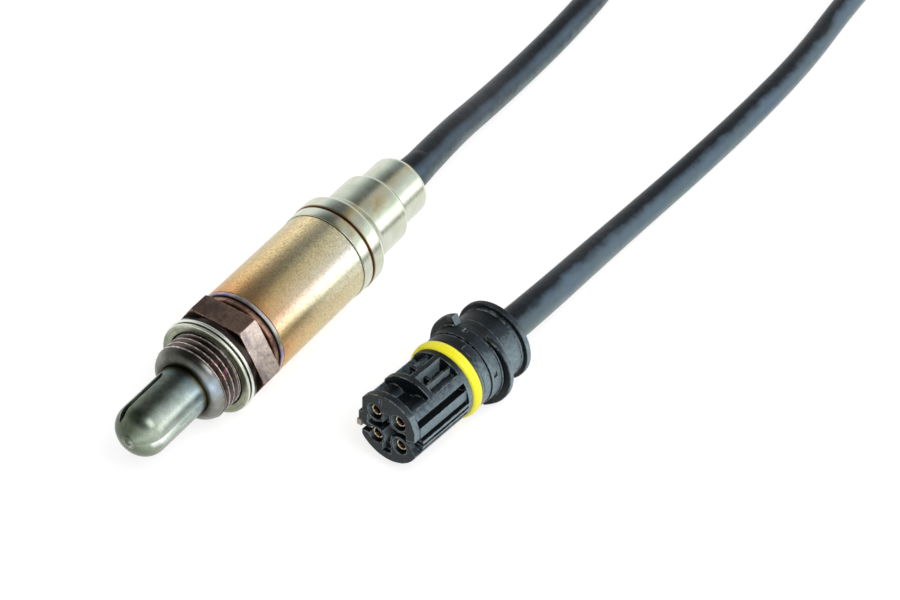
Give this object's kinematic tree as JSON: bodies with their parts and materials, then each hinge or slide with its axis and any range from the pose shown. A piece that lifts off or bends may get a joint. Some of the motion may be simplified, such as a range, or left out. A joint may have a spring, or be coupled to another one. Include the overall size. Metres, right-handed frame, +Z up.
{
  "type": "oxygen sensor",
  "caption": "Heated exhaust oxygen sensor with threaded body, slotted protection tube, stepped metal cap, black lead and round bayonet plug.",
  "frame": {"origin": "middle of the free thread, on the sensor's axis", "axes": "+X along the sensor's axis out of the protection tube's tip, +Z up from the surface that the sensor, its lead and its plug lie on, +Y towards the plug"},
  "size_m": [0.3179, 0.0877, 0.0236],
  "materials": {
    "stainless_tube": "satin, deep-drawn",
    "housing_steel": "turned and heat-tinted",
    "gasket_steel": "satin",
    "seal_steel": "plain",
    "ceramic": "fired white ceramic",
    "contact_nickel": "nickel-plated sheet",
    "heater_ceramic": "fired grey-white ceramic",
    "spring_steel": "spring temper",
    "crimp_steel": "blue-grey",
    "sleeve_steel": "heat-tinted gold to olive",
    "cap_steel": "satin nickel",
    "wire_insulation": "smooth insulation",
    "grommet_rubber": "satin black",
    "cable_sheath": "satin black",
    "plug_plastic": "fine-grained black",
    "lock_plastic": "tan",
    "seal_silicone": "satin yellow",
    "socket_brass": "bright"
  },
  "bodies": {
    "root": {"protection_tube": "stainless_tube", "sensor_housing": "housing_steel", "sealing_gasket": "gasket_steel", "seat_seal_ring": "seal_steel", "sensor_ceramic": "ceramic", "inner_contact": "contact_nickel", "ground_contact": "contact_nickel", "heater_rod": "heater_ceramic", "heater_contact_1": "contact_nickel", "heater_contact_2": "contact_nickel", "ceramic_support_tube": "ceramic", "disc_spring": "spring_steel", "retaining_sleeve": "seal_steel", "crimp_ring": "crimp_steel", "protective_sleeve": "sleeve_steel", "rear_cap": "cap_steel", "terminal_holder": "ceramic", "cable_grommet": "grommet_rubber", "cable": "cable_sheath", "contact_carrier": "plug_plastic", "contact_lock": "lock_plastic", "plug_seal_ring": "seal_silicone", "plug_shell": "plug_plastic", "core_seal": "grommet_rubber", "plug_bush": "grommet_rubber", "terminal_1": "contact_nickel", "sensor_lead_1": "wire_insulation", "socket_contact_1": "socket_brass", "plug_lead_1": "wire_insulation", "terminal_2": "contact_nickel", "sensor_lead_2": "wire_insulation", "socket_contact_2": "socket_brass", "plug_lead_2": "wire_insulation", "terminal_3": "contact_nickel", "sensor_lead_3": "wire_insulation", "socket_contact_3": "socket_brass", "plug_lead_3": "wire_insulation", "terminal_4": "contact_nickel", "sensor_lead_4": "wire_insulation", "socket_contact_4": "socket_brass", "plug_lead_4": "wire_insulation"}
  },
  "joints": []
}
